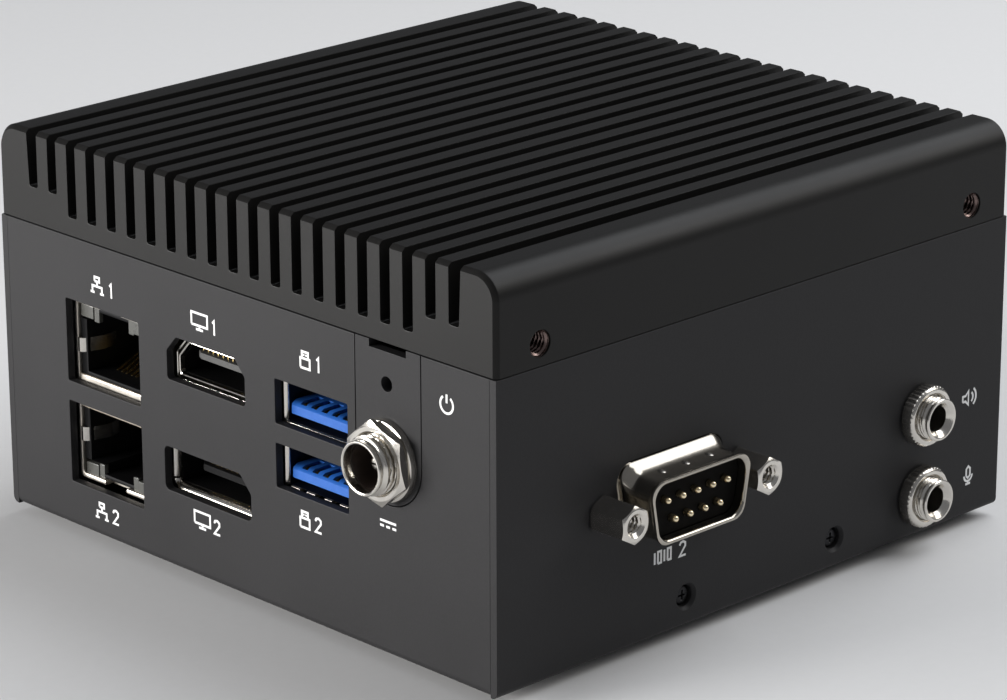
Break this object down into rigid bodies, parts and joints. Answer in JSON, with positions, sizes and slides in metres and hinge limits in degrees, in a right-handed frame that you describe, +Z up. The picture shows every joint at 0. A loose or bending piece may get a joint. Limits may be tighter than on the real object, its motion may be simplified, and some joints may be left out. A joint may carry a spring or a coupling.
{
  "type": "mini pc",
  "caption": "Fanless mini computer: black finned heatsink lid on a folded sheet case, with network, video, USB, power, serial and audio sockets.",
  "frame": {"origin": "centre of the case's flat underside; the feet reach 1.6 mm below it", "axes": "+Z up towards the heatsink fins, -Y out of the panel with the network, video, USB and power sockets, +X out of the side with serial port 2 and the audio jacks"},
  "size_m": [0.1092, 0.1023, 0.0574],
  "materials": {
    "coated_aluminium": "fine matt black coating on extruded aluminium",
    "coated_sheet": "fine textured black powder coat on folded steel sheet",
    "nickel": "bright nickel plate",
    "black_plastic": "moulded black plastic",
    "blue_plastic": "moulded blue plastic",
    "rubber": "matt black rubber",
    "board": "green solder mask",
    "zinc_steel": "zinc plated steel",
    "black_steel": "black oxide steel",
    "bare_aluminium": "milled aluminium",
    "pad": "soft grey thermal pad",
    "ribbon": "grey flat cable"
  },
  "bodies": {
    "case": {"backup_cell": "zinc_steel", "bottom_screw_1": "black_steel", "bottom_screw_2": "black_steel", "bottom_screw_3": "black_steel", "bottom_screw_4": "black_steel", "chassis": "coated_sheet", "column_1": "zinc_steel", "column_2": "zinc_steel", "column_3": "zinc_steel", "column_4": "zinc_steel", "com1_insert": "black_plastic", "com1_jackscrew_1": "nickel", "com1_jackscrew_2": "nickel", "com1_ribbon": "ribbon", "com1_shell": "nickel", "com2_insert": "black_plastic", "com2_jackscrew_1": "nickel", "com2_jackscrew_2": "nickel", "com2_ribbon": "ribbon", "com2_shell": "nickel", "dp_insert": "black_plastic", "dp_shell": "nickel", "foot_1": "rubber", "foot_2": "rubber", "foot_3": "rubber", "foot_4": "rubber", "hdmi_insert": "black_plastic", "hdmi_shell": "nickel", "heat_block": "bare_aluminium", "heatsink_lid": "coated_aluminium", "inlet_barrel": "nickel", "inlet_insulator": "black_plastic", "inlet_nut": "nickel", "inlet_pin": "nickel", "inlet_washer": "nickel", "line_out_jack": "nickel", "line_out_nut": "nickel", "main_board": "board", "memory_module": "board", "memory_socket": "black_plastic", "mic_in_jack": "nickel", "mic_in_nut": "nickel", "network_shield": "nickel", "network_socket": "black_plastic", "power_plate": "coated_sheet", "power_switch": "black_plastic", "processor": "black_plastic", "side_panel_left": "coated_sheet", "side_panel_right": "coated_sheet", "side_screw_1": "black_steel", "side_screw_2": "black_steel", "side_screw_3": "black_steel", "side_screw_4": "black_steel", "storage_module": "board", "storage_socket": "black_plastic", "thermal_pad": "pad", "usb_shell": "nickel", "usb_tongue_1": "blue_plastic", "usb_tongue_2": "blue_plastic"},
    "button": {"power_button": "black_plastic"}
  },
  "joints": [
    {"name": "power_button_press", "type": "slide", "parent": "case", "child": "button", "axis": [0, 1, 0], "range_m": [0, 0.00025], "stiffness_N_per_m": 600}
  ]
}
